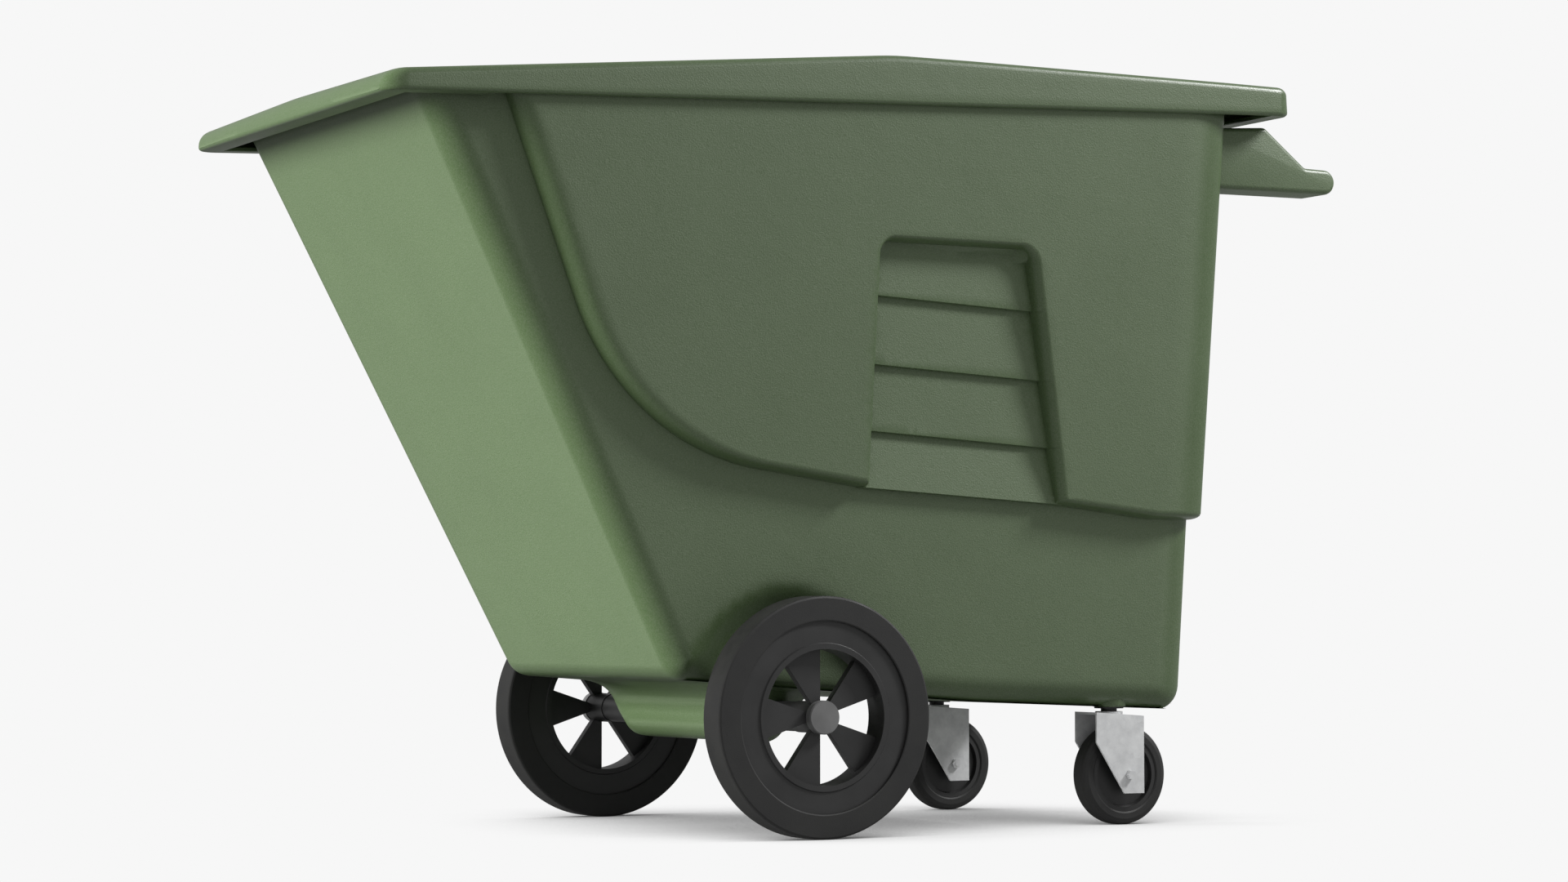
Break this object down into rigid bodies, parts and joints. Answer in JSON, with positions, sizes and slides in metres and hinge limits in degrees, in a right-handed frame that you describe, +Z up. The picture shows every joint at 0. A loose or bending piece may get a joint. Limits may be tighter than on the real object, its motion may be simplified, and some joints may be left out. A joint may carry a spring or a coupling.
{
  "type": "tilt truck",
  "caption": "Wedge-fronted plastic tilt truck with a hinged gable lid, large wheels on a through axle, swivel casters at the back and moulded handle horns.",
  "frame": {"origin": "centre of the bounding box in plan, on the floor", "axes": "+X towards the handle horns, -X towards the pouring front, +Z up, +Y completes the right-handed frame"},
  "size_m": [1.4384, 0.658, 1.0046],
  "materials": {
    "green_shell": "finely pebbled rotomoulded polyethylene, low sheen",
    "black_rubber": "matt black solid rubber",
    "black_plastic": "satin black moulded plastic",
    "grey_plastic": "satin mid grey moulded plastic",
    "zinc_steel": "zinc plated steel with faint mottling"
  },
  "bodies": {
    "truck": {"tub": "green_shell", "axle": "zinc_steel", "spacer_left": "black_plastic", "spacer_right": "black_plastic", "big_retainer_left": "zinc_steel", "big_retainer_right": "zinc_steel", "swivel_cup_left": "black_plastic", "kingpin_left": "zinc_steel", "floor_washer_left": "zinc_steel", "kingpin_nut_left": "zinc_steel", "swivel_cup_right": "black_plastic", "kingpin_right": "zinc_steel", "floor_washer_right": "zinc_steel", "kingpin_nut_right": "zinc_steel", "hinge_bracket_left": "zinc_steel", "hinge_bracket_right": "zinc_steel", "bracket_screws": "zinc_steel", "bracket_washers": "zinc_steel", "bracket_nuts": "zinc_steel", "hinge_pins": "zinc_steel", "hinge_clips": "zinc_steel"},
    "lid_body": {"lid": "green_shell"},
    "big_wheel_left": {"big_tire_left": "black_rubber", "big_rim_left": "black_plastic", "big_bush_left": "grey_plastic", "big_cap_left": "grey_plastic"},
    "caster_left": {"fork_left": "zinc_steel", "caster_bolt_left": "zinc_steel", "caster_nut_left": "zinc_steel", "caster_sleeve_left": "grey_plastic"},
    "caster_wheel_left": {"caster_tire_left": "black_rubber", "caster_core_left": "black_plastic"},
    "big_wheel_right": {"big_tire_right": "black_rubber", "big_rim_right": "black_plastic", "big_bush_right": "grey_plastic", "big_cap_right": "grey_plastic"},
    "caster_right": {"fork_right": "zinc_steel", "caster_bolt_right": "zinc_steel", "caster_nut_right": "zinc_steel", "caster_sleeve_right": "grey_plastic"},
    "caster_wheel_right": {"caster_tire_right": "black_rubber", "caster_core_right": "black_plastic"}
  },
  "joints": [
    {"name": "big_wheel_spin_left", "type": "hinge", "parent": "truck", "child": "big_wheel_left", "pos_m": [-0.11955, -0.30535, 0.1524], "axis": [0, 1, 0], "continuous": true},
    {"name": "big_wheel_spin_right", "type": "hinge", "parent": "truck", "child": "big_wheel_right", "pos_m": [-0.11955, 0.30535, 0.1524], "axis": [0, 1, 0], "continuous": true},
    {"name": "caster_swivel_left", "type": "hinge", "parent": "truck", "child": "caster_left", "pos_m": [0.38325, -0.2189, 0.152], "axis": [0, 0, 1], "continuous": true},
    {"name": "caster_wheel_spin_left", "type": "hinge", "parent": "caster_left", "child": "caster_wheel_left", "pos_m": [0.39925, -0.2189, 0.06735], "axis": [0, 1, 0], "continuous": true},
    {"name": "caster_swivel_right", "type": "hinge", "parent": "truck", "child": "caster_right", "pos_m": [0.38325, 0.2189, 0.152], "axis": [0, 0, 1], "continuous": true},
    {"name": "caster_wheel_spin_right", "type": "hinge", "parent": "caster_right", "child": "caster_wheel_right", "pos_m": [0.39925, 0.2189, 0.06735], "axis": [0, 1, 0], "continuous": true},
    {"name": "lid_hinge", "type": "hinge", "parent": "truck", "child": "lid_body", "pos_m": [0.63045, 0, 0.968], "axis": [0, 1, 0], "range_deg": [0, 110]}
  ]
}
